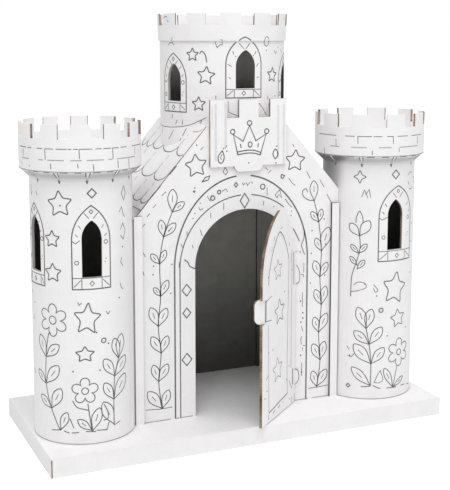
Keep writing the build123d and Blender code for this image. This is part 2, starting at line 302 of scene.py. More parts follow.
# Faint grey: print, and painted contact shadow at the feet and under the collars' folds
faint_ink_and_shade = grey_ink_and_shade("faint_ink_and_shade", dark=0.30, pale=0.46)
# Palest grey: painted shade of the crest plate's flutes
flute_painted_shade = grey_ink_and_shade("flute_painted_shade", dark=0.64, pale=0.73)

# Painted shade on the round towers, and painted light on the keep's foot: a colour, and where each begins and
# is full. A reach is a share of the tube's radius, from its axis towards the house, and a rise is a height.
HOUSE_PAINTED_SHADE, HOUSE_REACH, HOUSE_RISE = (0.32, 0.32, 0.325), (0.85, 1.02), (300, 390)
JOINT_PAINTED_SHADE, JOINT_RISE = (0.12, 0.12, 0.12), (326, 322)
JOINT_REACH = {"left": (0.89, 0.93), "right": (0.92, 0.96)}
COLLAR_PAINTED_SHADE = (0.58, 0.58, 0.59)
KEEP_FOOT_PAINTED_LIGHT, KEEP_FOOT_RISE = (1.1, 1.1, 1.1), (446, 436)


def dress(node, rule, materials):
    """Give a node its materials, one for each face by a rule on its centre and normal."""
    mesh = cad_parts[node].data
    mesh.materials.clear()
    for material in materials:
        mesh.materials.append(material)
    for face in mesh.polygons:
        face.material_index = rule(face.center / MM, face.normal)


FACE, EDGE, BACK, PALE, DEEP = range(5)  # the order of a node's materials
FLAT_ON = 0.9  # share of the normal that counts as facing an axis
FULLY_ON = 0.99  # and as facing it exactly
SIDE_ON = 0.35  # share below which it counts as facing across
ROOF_TOP = 0.5  # the roof's printed faces look up at least this much
SIDE_WINDOW = 40.0  # openings further round to the left have reveals in a grey of painted light, degrees
FAR_REVEAL = 60.0  # the keep's reveals further round to the right are painted dark as shade
ALL_ROUND = 180.0
PALE_MERLONS = {"left": 90.0, "right": ALL_ROUND}  # the same for the merlons' side edges


def sheet_rule(across):
    """Printed side, raw edge or inner side of an upright sheet."""
    def rule(centre, normal):
        facing = normal.dot(across)
        if facing > FLAT_ON:
            return FACE
        return BACK if facing < -FLAT_ON else EDGE
    return rule


def ring_rule(x, y, pale_beyond=ALL_ROUND, pale_below=0.0, deep_beyond=ALL_ROUND):
    """Outer side, raw edge or inner side of a tube; some edges are pale, some dark."""
    def rule(centre, normal):
        if normal.z > FLAT_ON:
            return PALE
        if normal.z < -FLAT_ON:
            return EDGE
        outward = Vector((centre.x - x, centre.y - y, 0)).normalized()
        facing = normal.dot(outward)
        if abs(facing) > SIDE_ON:
            return FACE if facing > 0 else BACK
        turn = degrees(atan2(outward.x, -outward.y))
        if turn > deep_beyond:
            return DEEP
        return PALE if turn < -pale_beyond or centre.z < pale_below else EDGE
    return rule


def plain_rule(centre, normal):
    """One material all over."""
    return FACE


def rolled_liner(name, axis, shades=()):
    """The liner of a tube, with its flutes upright."""
    return liner(name, WHITE, "X", 0.2, [length * MM for length in axis], shades)


def dress_towers():
    """Tubes, collars and decks of the three towers."""
    for name, way in (("left", 1), ("right", -1)):
        x, y, radius = axis = axis_of(f"tower_tube_{name}")
        fold = corners(f"tower_collar_{name}")[0].z + CORBEL_DROP
        reaches = HOUSE_REACH, JOINT_REACH[name]
        house, joint = [("X", x + way * start * radius, x + way * end * radius) for start, end in reaches]
        # Painted shade on the tubes and collars: beside the house, under the collar's fold, and in the joint
        # at the post
        shaded = rolled_liner(f"liner_tube_{name}", axis, [
            (HOUSE_PAINTED_SHADE, [house, ("Z", *HOUSE_RISE), ("Z", fold + 1, fold - 1)]),
            (COLLAR_PAINTED_SHADE, [("Z", fold - 16, fold - 6), ("Z", fold + 1, fold - 5)]),
            (JOINT_PAINTED_SHADE, [joint, ("Z", *JOINT_RISE)]),
        ])
        rolled = rolled_liner(f"liner_tower_{name}", axis)
        tube = [shaded, kraft_z, tower_inside, pale_reveal]
        dress(f"tower_tube_{name}", ring_rule(x, y, SIDE_WINDOW), tube)
        # below the fold the slits' cut edges are pale: painted light in their shade
        collar = [shaded, kraft_z, rolled, pale_cut_edge]
        dress(f"tower_collar_{name}", ring_rule(x, y, PALE_MERLONS[name], fold), collar)
        dress(f"tower_deck_{name}", plain_rule, [white_x])
    x, y, _ = axis = axis_of("keep_tube")
    rolled = rolled_liner("liner_keep", axis)
    # The keep's foot is painted lighter below its printed line: painted light
    foot_painted_light = rolled_liner("liner_keep_tube", axis, [(KEEP_FOOT_PAINTED_LIGHT, [("Z", *KEEP_FOOT_RISE)])])
    keep = [foot_painted_light, kraft_z, keep_inside, pale_reveal, edge_painted_shade]
    dress("keep_tube", ring_rule(x, y, SIDE_WINDOW, deep_beyond=FAR_REVEAL), keep)
    dress("keep_collar", ring_rule(x, y), [rolled, kraft_z, rolled, pale_cut_edge])
    dress("keep_deck", plain_rule, [white_x])


def house_rule(centre, normal):
    """Outer side, raw edge or inner side of a house wall."""
    if abs(normal.x) > FLAT_ON:
        # the lap's end inside the back wall is painted dark as shade
        if abs(centre.x) < wall_high.x - LAP_FROM_WALL:
            return PALE
        outward = normal.x * (centre.x - HOUSE_AXIS)
    elif abs(normal.y) > FLAT_ON:
        outward = normal.y * (centre.y - (roof_low.y + roof_high.y) / 2)
    else:
        return EDGE
    return FACE if outward > 0 else BACK


def roof_rule(centre, normal):
    """Outer side, raw edge or inner side of the roof sheet."""
    if normal.z > ROOF_TOP:
        return FACE
    if abs(normal.y) > FLAT_ON or (centre.x - HOUSE_AXIS) * normal.x > 0:
        return EDGE
    return BACK


def dress_house():
    """Front wall, house, roof, crest, posts, leaf and base."""
    front = Vector((0, -1, 0))
    dress("front_wall", sheet_rule(front), [white_x, kraft_x, house_inside])
    dress("crest_plate", sheet_rule(front), [white_x, kraft_z, white_x])
    for name in ("left", "right"):
        # the posts' side edges are painted dark as shade
        dress(f"corner_post_{name}", sheet_rule(front), [white_x, edge_painted_shade, white_x])
        dress(f"house_wall_{name}", house_rule, [white_y, kraft_z, house_inside, edge_painted_shade])
    dress("roof_sheet", roof_rule, [white_y, kraft_x, house_inside])
    swing = radians(LEAF_OPEN)
    leaf = sheet_rule(Vector((sin(swing), -cos(swing), 0)))

    def leaf_rule(centre, normal):
        """The leaf's own sides, and the front of its tabs."""
        return FACE if normal.y < -FULLY_ON else leaf(centre, normal)

    dress("door_leaf", leaf_rule, [white_x, leaf_edge, white_x])
    dress("base_tray", plain_rule, [white_x])


# Print

LEAST_SPAN = 0.01  # shorter spans of a line are left out
SHARPEST = 0.3  # a corner sharper than this isn't mitred
LEAST_SPREAD = 0.55  # limits the other mitres
TIP_REACH, TIP_WIDTH = 0.8, 0.45  # of a ribbon's rounded end, as shares of half its width
prints = []


class Print:
    """Ink lines on one surface, gathered into one mesh of thin ribbons."""

    def __init__(self, name, surface, longest=ROUND_SPAN, ink=ink_grey):
        self.name, self.surface, self.longest, self.ink = name, surface, longest, ink
        self.points, self.faces = [], []
        prints.append(self)

    def line(self, points, width=PLAIN, closed=False):
        """A ribbon along points, mitred at corners and rounded off at its ends."""
        path = self.divided(points, closed)
        count = len(path)
        first = len(self.points)
        rows = []
        for i, point in enumerate(path):
            before = path[i - 1] if i or closed else None
            after = path[(i + 1) % count] if i + 1 < count or closed else None
            rows.append((point, *mitre(before, point, after), width / 2))
        if not closed:
            rows = [rounded_end(rows[0], -1)] + rows + [rounded_end(rows[-1], 1)]
        for (x, z), (nx, nz), _, half in rows:
            self.points += [self.surface(x + nx * reach, z + nz * reach) for reach in (half, -half)]
        spans = len(rows) if closed else len(rows) - 1
        for i in range(spans):
            a = first + 2 * i
            b = first + 2 * ((i + 1) % len(rows))
            self.faces.append((a, b, b + 1, a + 1))

    def divided(self, points, closed):
        """The points with long spans divided, to follow a round surface."""
        ends = [*points, points[0]] if closed else points
        path = [points[0]]
        for (x0, z0), (x1, z1) in zip(ends, ends[1:]):
            length = hypot(x1 - x0, z1 - z0)
            if length < LEAST_SPAN:
                continue
            pieces = max(1, ceil(length / self.longest))
            path += [(x0 + (x1 - x0) * k / pieces, z0 + (z1 - z0) * k / pieces) for k in range(1, pieces + 1)]
        return path[:-1] if closed else path

    def patch(self, outline):
        """A filled shape."""
        first = len(self.points)
        self.points += [self.surface(*point) for point in outline]
        self.faces.append(tuple(range(first, first + len(outline))))

    def make(self):
        """The mesh object, riding with the castle."""
        mesh = bpy.data.meshes.new(self.name)
        mesh.from_pydata([Vector(p) * MM for p in self.points], [], self.faces)
        mesh.materials.append(self.ink)
        piece = add_object(self.name, mesh)
        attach(piece, "root")


def mitre(before, point, after):
    """(sideways direction scaled for the corner, direction of travel) at a point of a line."""
    def unit(a, b):
        length = hypot(b[0] - a[0], b[1] - a[1])
        return (b[0] - a[0]) / length, (b[1] - a[1]) / length

    steps = [unit(a, b) for a, b in ((before, point), (point, after)) if a and b]
    along = (sum(s[0] for s in steps), sum(s[1] for s in steps))
    length = hypot(*along)
    if length < SHARPEST:
        along, length = steps[-1], 1.0
    along = (along[0] / length, along[1] / length)
    spread = max(LEAST_SPREAD, along[0] * steps[-1][0] + along[1] * steps[-1][1])
    return (-along[1] / spread, along[0] / spread), along


def rounded_end(row, way):
    """One more row past a line's end, narrowed, which rounds it off."""
    (x, z), side, along, half = row
    reach = way * half * TIP_REACH
    return (x + reach * along[0], z + reach * along[1]), side, along, half * TIP_WIDTH


def smooth(points, closed=False, steps=5):
    """A Catmull-Rom curve through points."""
    count = len(points)
    path = []
    for i in range(count if closed else count - 1):
        near = [k % count if closed else min(max(k, 0), count - 1) for k in range(i - 1, i + 3)]
        for t in (k / steps for k in range(steps)):
            path.append(tuple(
                b + 0.5 * t * (c - a + t * (2 * a - 5 * b + 4 * c - d + t * (3 * b - a - 3 * c + d)))
                for a, b, c, d in zip(*[points[k] for k in near])
            ))
    if not closed:
        path.append(points[-1])
    return path


def softened(points, share=0.14):
    """A closed outline with its corners cut twice, as a pen rounds them."""
    for _ in range(2):
        cut = []
        for a, b in zip(points, points[1:] + points[:1]):
            for near, far in ((a, b), (b, a)):
                cut.append((near[0] + (far[0] - near[0]) * share, near[1] + (far[1] - near[1]) * share))
        points = cut
    return points


def star(ink, middle, size, turn=0.0, tips=5, waist=0.5, width=PLAIN, tall=1.0):
    """A star with slightly rounded tips."""
    outline = []
    for i in range(2 * tips):
        angle = radians(turn) + pi * i / tips
        reach = size if i % 2 == 0 else size * waist
        outline.append((middle[0] + reach * sin(angle), middle[1] + reach * tall * cos(angle)))
    ink.line(softened(outline), width, closed=True)


def oval(middle, half, rise, sides, start=0.0, end=360.0):
    """Points round an oval, between angles counted from its right end."""
    turns = [radians(start + (end - start) * i / sides) for i in range(sides + 1)]
    return [(middle[0] + half * cos(turn), middle[1] + rise * sin(turn)) for turn in turns]


def ring(ink, middle, size, width=PLAIN, tall=1.0):
    """A circle, or an oval."""
    ink.line(oval(middle, size, size * tall, max(12, int(size * 4)))[:-1], width, closed=True)


def diamond(ink, middle, half, tall=1.0, width=PLAIN):
    """A square on its corner, or a taller lozenge."""
    x, z = middle
    ink.line([(x + half, z), (x, z + half * tall), (x - half, z), (x, z - half * tall)], width, closed=True)


def leaf(ink, foot, tip, fat, rib=True):
    """A leaf from its stalk end to its tip, with a short midrib."""
    dx, dz = tip[0] - foot[0], tip[1] - foot[1]
    length = hypot(dx, dz)
    ux, uz = dx / length, dz / length
    half = length * fat / 2
    near = [(0.0, 0.0), (0.16, 0.3), (0.4, 0.82), (0.64, 1.0), (0.86, 0.66), (0.97, 0.24), (1.0, 0.0)]
    side = [(length * t, half * h) for t, h in near]
    outline = smooth(side, steps=4) + smooth([(t, -h) for t, h in reversed(side)], steps=4)[1:-1]
    ink.line([(foot[0] + t * ux - h * uz, foot[1] + t * uz + h * ux) for t, h in outline], SLIM, closed=True)
    if rib:
        ink.line([(foot[0] + dx * share, foot[1] + dz * share) for share in (0.45, 0.72)], FINE)


def leaves(ink, pairs, fat):
    """Several leaves, each from its foot to its tip."""
    for foot, tip in pairs:
        leaf(ink, foot, tip, fat)


def flower(ink, middle, size, petals, core):
    """Round petals about a core."""
    sides = 12 * petals
    outline = []
    for i in range(sides):
        angle = 2 * pi * i / sides
        reach = size * (0.52 + 0.48 * abs(cos(petals * angle / 2)) ** 0.7)
        outline.append((middle[0] + reach * sin(angle), middle[1] + reach * cos(angle)))
    ink.line(outline, SLIM, closed=True)
    ring(ink, middle, core, SLIM)


def vine(ink, nodes, *rows):
    """A stem through its nodes, and rows of leaves, each from its first node on."""
    ink.line(smooth(nodes), SLIM)
    for first, tips in rows:
        leaves(ink, zip(nodes[first:], tips), fat=0.44)


def arch_points(middle, half, foot, spring, apex):
    """Up one side, over a pointed arch and down the other."""
    rise = apex - spring
    radius = (half**2 + rise**2) / (2 * half)
    right = oval((half - radius, spring), radius, radius, 10, 0, degrees(asin(rise / radius)))
    path = [(-half, foot)] + [(-x, z) for x, z in right] + right[-2::-1] + [(half, foot)]
    return [(middle + x, z) for x, z in path]


def marks(ink, rows, width=FINE):
    """Several pen strokes, each a row of x, z, x, z and so on."""
    for row in rows:
        ink.line(list(zip(row[::2], row[1::2])), width)


def curves(ink, rows, width=SLIM):
    """Several smooth strokes, each such a row."""
    for row in rows:
        ink.line(smooth(list(zip(row[::2], row[1::2]))), width)


def dots(ink, points, radius=0.9):
    """Several filled dots."""
    for point in points:
        ink.patch(oval(point, radius, radius, 10)[:-1])


def upright_surface(y):
    """An upright plane across Y."""
    return lambda x, z: (x, y - PRINT_LIFT, z)


def cone_surface(x, y, low, high):
    """An upright cone between (radius, height) pairs; arcs are counted on the upper one, from the front."""
    slope = (high[0] - low[0]) / (high[1] - low[1])

    def place(arc, z):
        turn = arc / high[0]
        reach = low[0] + slope * (z - low[1]) + PRINT_LIFT
        return x + reach * sin(turn), y - reach * cos(turn), z
    return place


def round_surface(x, y, radius):
    """An upright cylinder; the first coordinate is the way round from the front, towards +X."""
    return cone_surface(x, y, (radius, 0), (radius, 1))


def leaf_surface():
    """The door leaf's printed side; the first coordinate is the way from its hinge."""
    swing = radians(LEAF_OPEN)
    hinge_x = leaf_high.x - HINGE_TAB_REACH
    hinge_y = WALL_FACE - BOARD * cos(swing)

    def place(along, z):
        x = hinge_x - along * cos(swing) + PRINT_LIFT * sin(swing)
        y = hinge_y - along * sin(swing) - PRINT_LIFT * cos(swing)
        return x, y, z
    return place


def roof_surface(side):
    """A slope of the roof; coordinates are Y and the way down from the flat middle."""
    angle = radians(ROOF_ANGLE)

    def place(y, down):
        x = HOUSE_AXIS + side * (ROOF_FLAT_HALF + down * cos(angle) + PRINT_LIFT * sin(angle))
        return x, y, roof_high.z - down * sin(angle) + PRINT_LIFT * cos(angle)
    return place


def print_wall():
    """Vines, the arch's bands and small ornaments on the front wall."""
    ink = Print("print_wall", upright_surface(WALL_FACE), FLAT_SPAN)
    stem = [
        (-103, 326), (-116, 292), (-122, 254), (-121, 208), (-125, 165), (-121, 126), (-125, 85), (-120, 45),
    ]
    left_tips = [
        (-102, 358), (-120, 316), (-135, 269), (-131, 221), (-136, 193), (-135, 151), (-133, 110), (-141, 72),
    ]
    right_tips = [
        (-85, 339), (-98, 310), (-113, 273), (-110, 230), (-112, 190), (-111, 150), (-111, 109), (-110, 71),
    ]
    vine(ink, stem, (0, left_tips), (0, right_tips))
    stem = [(120, 328), (128, 296), (133, 252), (131, 213), (134, 170), (130, 128), (133, 85), (128, 44)]
    left_tips = [(115, 312), (123, 272), (121, 238), (123, 194), (122, 152), (120, 111), (120, 69)]
    right_tips = [
        (119, 358), (133, 315), (145, 287), (143.5, 234), (141, 198), (143.5, 156), (140, 113), (144, 69),
    ]
    vine(ink, stem, (1, left_tips), (0, right_tips))
    curves(ink, [(120, 329, 111, 330, 102, 336, 101, 344, 106, 347, 109, 342)])
    marks(ink, [(-144, 46, -125, 44.5, -105, 45), (114, 43, 130, 43, 147, 44)])
    ink.line([(-100, 28)] + oval((5, 244), 105, 128, 48, 180, 96), BOLD)
    ink.line([(109.5, 28)] + oval((4.5, 244), 105, 128, 48, 0, 83), BOLD)
    ink.line([(-92, 28)] + oval((8, 243), 100, 101, 48, 180, 94))
    ink.line(oval((8, 243), 100, 101, 20, 84, 52))
    diamond(ink, (7.5, 335.5), 7, 1.5)
    for z, half in ((213, 7.0), (180, 6.0), (112, 7.5)):
        diamond(ink, (-82, z), half, 1.2)
    curves(ink, [(-85, 257, -80, 253, -77, 247, -69, 243)], PLAIN)
    star(ink, (-67, 389), 17.5, -6)
    star(ink, (88, 389), 17.0, 4)
    print_arch_band(ink)
    print_wall_marks(ink)
    # Painted contact shadow along the wall's foot
    foot = Print("wall_foot_painted_shadow", upright_surface(WALL_FACE), FLAT_SPAN, faint_ink_and_shade)
    z = wall_low.z + FOOT_SHADOW_RISE
    spans = (-156, -108), (-100, -74), (86, 112), (120, 157)
    marks(foot, [(start, z, end, z) for start, end in spans], SLIM)


def print_arch_band(ink):
    """Small ornaments between the arch's two lines, and inside the inner one."""
    diamond(ink, (-6, 359), 2.6, 1.3)
    marks(ink, [
        (4, 361, 6, 358, 8, 361), (10, 361, 12, 357, 15, 361), (17, 362, 20, 360), (43, 352, 43, 341),
        (63, 348, 56, 341, 59, 336, 61, 340), (63, 348, 67, 336, 62, 341), (73, 333, 78.5, 325.5, 83.5, 321),
        (71, 302, 62, 299), (-27, 351, -22, 354, -19, 350), (-63, 330, -61, 326, -57, 328),
        (-50, 345, -46, 338, -43, 346), (-81, 297, -81, 291), (-90, 280, -88, 275), (-93, 254, -93, 247),
        (-25, 334, -25, 324), (-45, 321, -45, 314), (-61, 298, -58, 289), (-73, 277, -72, 273),
        (38, 333, 37, 327), (98, 255, 97, 249), (98, 220, 103, 219, 104, 215), (104, 236, 104, 222),
        (102, 192, 102, 170), (102, 125, 100, 121, 101, 113), (104, 111, 107, 110), (101, 141, 103, 133),
        (102, 84, 102, 64), (103, 108, 103, 104),
    ])
    ring(ink, (36, 354), 3.6)
    ring(ink, (-42, 342), 3.2)
    ring(ink, (-32, 350), 2.6)
    dots(ink, [(-34, 351), (73, 333), (83, 315.5), (82, 309), (54, 324), (-69, 322), (-61, 336), (-72, 315)])
    curves(ink, [(86, 289, 91, 280, 96, 270)], PLAIN)
    curves(ink, [(103.5, 288, 103.6, 274, 99.7, 264, 102, 256, 105, 249)])
    dots(ink, [(99, 179), (103, 161), (103, 153), (100, 147), (100, 96), (102, 70)], 1.3)


def print_wall_marks(ink):
    """Loose strokes on the gable and beside the vines."""
    marks(ink, [
        (-60, 411, -56, 415), (-118, 350, -112, 355), (-131, 334, -127, 338), (-140, 322, -136, 326),
        (-147, 308, -143, 312), (-23, 385, -26, 378, -22, 374, -19, 378, -23, 385), (40, 381, 44, 378),
        (45, 373, 49, 377), (78, 364, 83, 357, 88, 353), (84, 413, 86, 409), (129, 359, 136, 348),
        (-152, 327, -138, 343), (-134, 348, -120, 363), (-106, 379, -96, 390), (107, 372, 113, 362),
        (141, 337, 150, 322), (-146, 272, -143, 266), (-147, 246, -145, 240),
    ])
    marks(ink, [
        (-58, 366, -49, 368, -46, 374, -53, 372, -58, 366), (66, 370, 71, 368, 68, 364, 65, 366, 66, 370),
    ], PLAIN)
    dots(ink, [
        (-66, 418), (-69, 358), (-108, 300), (-131, 252), (-104, 252), (-106, 211), (-132, 240), (137, 300),
        (140, 262), (117, 284), (116, 250), (139, 215), (115, 205),
    ], 1.1)
    dots(ink, [(-70, 353)], 1.9)


def surround(ink, middle, half, foot, spring, apex, window_half, sill):
    """The print round a window: arch, sill, keystone and small ornaments."""
    ink.line(arch_points(middle, half, foot, spring, apex))
    ink.line([(middle - half, foot), (middle + half, foot)])
    for way in (-1, 1):
        side, jamb = middle + way * half, middle + way * window_half
        marks(ink, [
            (jamb, sill, jamb, foot), (side - 2 * way, foot + 3, jamb + 1.5 * way, sill - 3),
            (middle + 9 * way, apex - 10, middle + 3 * way, apex - 17),
            (side - 5 * way, spring + 9, side - 8 * way, spring + 6),
            (side - 9 * way, spring + 21, side - 12 * way, spring + 17),
        ])
    marks(ink, [
        (middle - half, sill, middle + half, sill),
        (middle - half + 1, spring, middle - half + 5, spring - 3, middle - window_half - 2, spring + 1),
    ])
    diamond(ink, (middle, apex - 8), 2.6, 1.1, FINE)
    diamond(ink, (middle, (foot + sill) / 2), 3.0, 1.1, FINE)
    between, mid = (half + window_half) / 2, (sill + spring) / 2
    ring(ink, (middle - between, mid - 4), 2.6, FINE)
    ring(ink, (middle + between, spring - 2), 2.6, FINE)
    dots(ink, [(middle + between, mid), (middle + between - 1.5, mid - 4)], 0.8)


def lotus(ink, foot, left_tip, right_tip, top):
    """Two petals from one foot, with the tip of a third between them."""
    for tip in (left_tip, right_tip):
        leaf(ink, foot, tip, fat=0.52, rib=False)
    x, z = top
    curves(ink, [(x - 5.2, z - 17, x - 4.6, z - 9, x, z, x + 4.6, z - 9, x + 5.2, z - 17)])


def tube_foot_shadow(name, start, end):
    """The thin line of painted contact shadow round part of a tower's foot."""
    x, y, radius = axis_of(f"tower_tube_{name}")
    z = corners("base_tray")[1].z + FOOT_SHADOW_RISE
    ink = Print(f"painted_foot_shadow_{name}", round_surface(x, y, radius), ink=faint_ink_and_shade)
    ink.line([(radians(start) * radius, z), (radians(end) * radius, z)], SLIM)


def print_left_tower():
    """Stars, windows, flowers and vines on the left front tower."""
    surface = round_surface(*axis_of("tower_tube_left"))
    ink = Print("print_tower_left", surface)
    star(ink, (-48, 352), 18.5, -4)
    star(ink, (-60, 305), 12)
    star(ink, (-60, 260), 13.5)
    star(ink, (-13.7, 199), 19.5, 5, waist=0.46, tall=1.2)
    star(ink, (-17.7, 151), 13.5, tall=0.85)
    diamond(ink, (-5, 366), 6)
    surround(ink, -6.5, 26, 239, 303, 350, 13.5, 254)
    surround(ink, -95, 21, 241, 306, 350, 13.5, 255)
    flower(ink, (-62, 196), 22, 6, 5.5)
    flower(ink, (-18.5, 101), 18, 5, 4.5)
    vine(
        ink, [(-66, 178), (-70, 174), (-75, 144), (-76, 107), (-67, 74), (-54, 46)],
        (2, [(-86, 173), (-92, 123), (-87, 89)]), (2, [(-53, 163), (-54, 134), (-51, 103)]),
    )
    vine(
        ink, [(31, 139), (24, 116), (22, 84), (22, 49)],
        (0, [(24, 168), (8, 142), (8, 109), (6, 83)]), (0, [(37, 172), (45, 140), (44, 115)]),
    )
    leaves(ink, [((-10, 46), (-28.6, 61.5)), ((-9.5, 45), (1, 76)), ((-53, 46), (-43, 71))], 0.42)
    curves(ink, [
        (-15, 83, -13, 66, -9.7, 44), (-35, 87.5, -29.6, 79, -15, 74.5), (7, 80, 12, 70, 12.4, 60, 6.4, 58),
        (-39.4, 62.5, -34.2, 50),
    ])
    marks(ink, [
        (-67, 44, -53, 46), (-48, 45, -41, 43), (-37, 43, -28, 44), (-18, 45, -5, 44),
        (-3.5, 45.5, 10.6, 44, 14, 54), (32, 51, 22, 48),
    ], SLIM)
    marks(ink, [
        (-105, 373, -103, 360, -100, 364), (-89, 366, -86, 361),
        (41, 362, 46, 372, 50, 362, 46, 352, 41, 362), (36, 338, 41, 344, 44, 334, 48, 330),
        (38, 314, 43, 322, 48, 312, 44, 300, 38, 306), (-26, 222, -24, 218, -21, 221),
        (12, 207, 15, 203, 18, 207), (36, 242, 38, 236, 42, 232), (40, 276, 38, 270, 42, 264),
        (-112, 230, -108, 226), (-106, 196, -102, 190), (-108, 120, -103, 114),
    ])
    ring(ink, (8, 168), 3.2)
    dots(ink, [
        (15, 163), (-47, 350), (42, 290), (34, 222), (-2, 180), (-34, 128), (2, 128), (-100, 214),
    ], 1.2)
    worn = Print("worn_window_edge", surface, ink=leaf_edge)
    worn.line([(6.5, 255.5), (6.8, 268), (7.1, 281), (7.0, 295), (7.1, 306), (6.0, 313)], 0.9)


def print_right_tower():
    """A lotus, stars, windows, a flower and vines on the right front tower."""
    ink = Print("print_tower_right", round_surface(*axis_of("tower_tube_right")))
    star(ink, (-50, 364), 9.8, tips=4, waist=0.45, width=SLIM)
    diamond(ink, (5, 367), 6.5)
    star(ink, (8, 196), 23, 8, tall=1.15)
    star(ink, (15, 149), 15, -8, width=SLIM)
    surround(ink, 10, 31, 238, 303, 350, 16, 253)
    surround(ink, 95, 21, 241, 306, 350, 13.5, 255)
    lotus(ink, (-49, 276), (-64, 294), (-34.5, 299), (-49.5, 313))
    curves(ink, [(-49, 277, -48, 258, -53, 237, -60, 214, -61, 184), (15, 74, 11, 58, 7.5, 43)])
    leaves(ink, [
        ((-50, 250), (-62, 262)), ((-50, 250), (-38, 264)), ((-52, 232), (-63, 244)),
        ((-52, 226), (-41, 240)),
    ], 0.42)
    vine(
        ink, [(-37, 136), (-32, 112), (-29, 82), (-29, 48)],
        (0, [(-50, 168), (-55, 131), (-55, 111)]), (0, [(-29, 166), (-13, 138), (-9, 106)]),
    )
    leaf(ink, (-29, 48), (-58, 75), fat=0.34)
    flower(ink, (18.5, 96), 21.5, 6, 4.5)
    leaves(ink, [((7.5, 43), (-8, 74)), ((8, 43), (29, 56))], 0.3)
    curves(ink, [
        (-61, 184, -60.7, 190.5, -50, 193.5, -38.5, 198.5, -40, 205, -50, 206.5, -56, 202),
        (-27, 203, -20.5, 195, -24.7, 192, -27, 198),
    ], FINE)
    marks(ink, [
        (-43, 46, -30, 47), (-25, 48, -14, 43), (-3, 43, 14, 42), (26, 42, 34, 42), (51, 38, 44, 40),
    ], SLIM)
    marks(ink, [
        (31, 364, 38, 368, 45, 367), (46, 346, 42, 342, 35, 343), (32, 354, 35, 349),
        (52, 360, 58, 356, 54, 350), (-47, 334, -43, 345, -38, 333), (-41, 338, -36, 346, -34, 334),
        (-66, 107, -62, 102), (-64.5, 93, -59, 90.5, -54.5, 96), (-23, 54, -18, 66, -13, 72),
        (-14, 70, -11, 62, -9.5, 56), (-24, 53, -17, 52, -10, 55),
    ])
    ring(ink, (-15, 164), 3.2)
    diamond(ink, (-63, 46), 3)
    dots(ink, [(-61, 93), (-40, 204), (-22, 186), (46, 290), (48, 262), (46, 214), (34, 132), (-4, 124)], 1.2)


def print_collar(name, upper, upper_dashes, lower, lower_dashes, uprights, slits):
    """Courses of brick round a collar, pen strokes along its fold and its corbel tabs, and a faint line at
    the fold that is print and painted shadow.
    """
    x, y, reach = axis_of(f"tower_collar_{name}")
    tube_radius = axis_of(f"tower_tube_{name}")[2]
    low = corners(f"tower_collar_{name}")[0].z
    fold = low + CORBEL_DROP
    ink = Print(f"print_collar_{name}", round_surface(x, y, reach))
    marks(ink, [(start, upper, end, upper) for start, end in upper_dashes])
    marks(ink, [(arc, top, arc + 0.5, bottom) for arc, top, bottom in uprights])
    faint = Print(f"print_course_{name}", round_surface(x, y, reach), ink=faint_ink_and_shade)
    marks(faint, [(start, lower, end, lower) for start, end in lower_dashes], SLIM)
    # the line at the fold is print and painted shadow under the collar
    half_way = radians(150) * reach
    faint.line([(-half_way, fold + 0.4), (half_way, fold + 0.4)], SLIM)
    tabs = Print(f"print_corbels_{name}", cone_surface(x, y, (tube_radius, low), (reach, fold)), CONE_SPAN)
    sunk = (tube_radius - SLIT_DEPTH, low), (reach - SLIT_DEPTH, fold)
    floors = Print(f"slit_floors_{name}", cone_surface(x, y, *sunk), ink=white_x)
    feet = Print(f"print_corbel_feet_{name}", round_surface(x, y, tube_radius), CONE_SPAN)
    step = radians(slits[1] - slits[0]) * reach
    for turn in (radians(degree) for degree in slits):
        middle = turn * reach
        for start, end in ((0.16, 0.38), (0.6, 0.8)):
            tabs.line([(middle + start * step, fold - 0.8), (middle + end * step, fold - 0.8)], FINE)
        for way, width in ((-1, PLAIN), (1, SLIM)):
            tabs.line([(middle + 2.9 * way, fold - 1.2), (middle + 1.2 * way, low + 0.8)], width)
            feet.line([(turn * tube_radius + 1.2 * way, low), (turn * tube_radius, low - 4)], width)
        middle = turn * (reach - SLIT_DEPTH)
        wide, narrow, top, bottom = 2.6, 0.9, fold - 0.3, low + 0.2
        floors.patch([
            (middle - wide, top), (middle + wide, top), (middle + narrow, bottom), (middle - narrow, bottom),
        ])


def print_collars():
    """The brickwork of both collars, which isn't the same."""
    print_collar(
        "left", 425,
        [(-126, -106), (-101, -94), (-83, -74), (-70, -58), (-54, -40), (-38, -34), (-31, -26), (-24, -7),
         (-3, 5), (8, 18), (20, 30), (34, 44), (56, 90)],
        410.5, [(-118, -100), (-81, -74), (-66, -44), (-35, -21), (-14, 8), (15, 20), (28, 64)],
        [(-114, 423, 413), (-70, 424, 411), (-24, 424, 413), (21, 424, 411), (64, 422, 413), (-62, 406, 399),
         (-26, 406, 401), (-6, 405, 397), (29, 408, 399), (49, 409, 397), (-99, 402, 400), (-120, 405, 402)],
        LEFT_SLITS,
    )
    print_collar(
        "right", 424.5,
        [(-135, -96), (-80, -66), (-61, -41), (-38, -26), (-18, -9), (-2, 16), (25, 52)],
        408.5, [(-106, -90), (-70, -48), (-30, -12), (2, 40)],
        [(-96, 419, 409), (-61, 424, 414), (-9, 424, 414), (-120, 404, 396), (1, 407, 402), (-40, 404, 398),
         (40, 422, 412)],
        RIGHT_SLITS,
    )


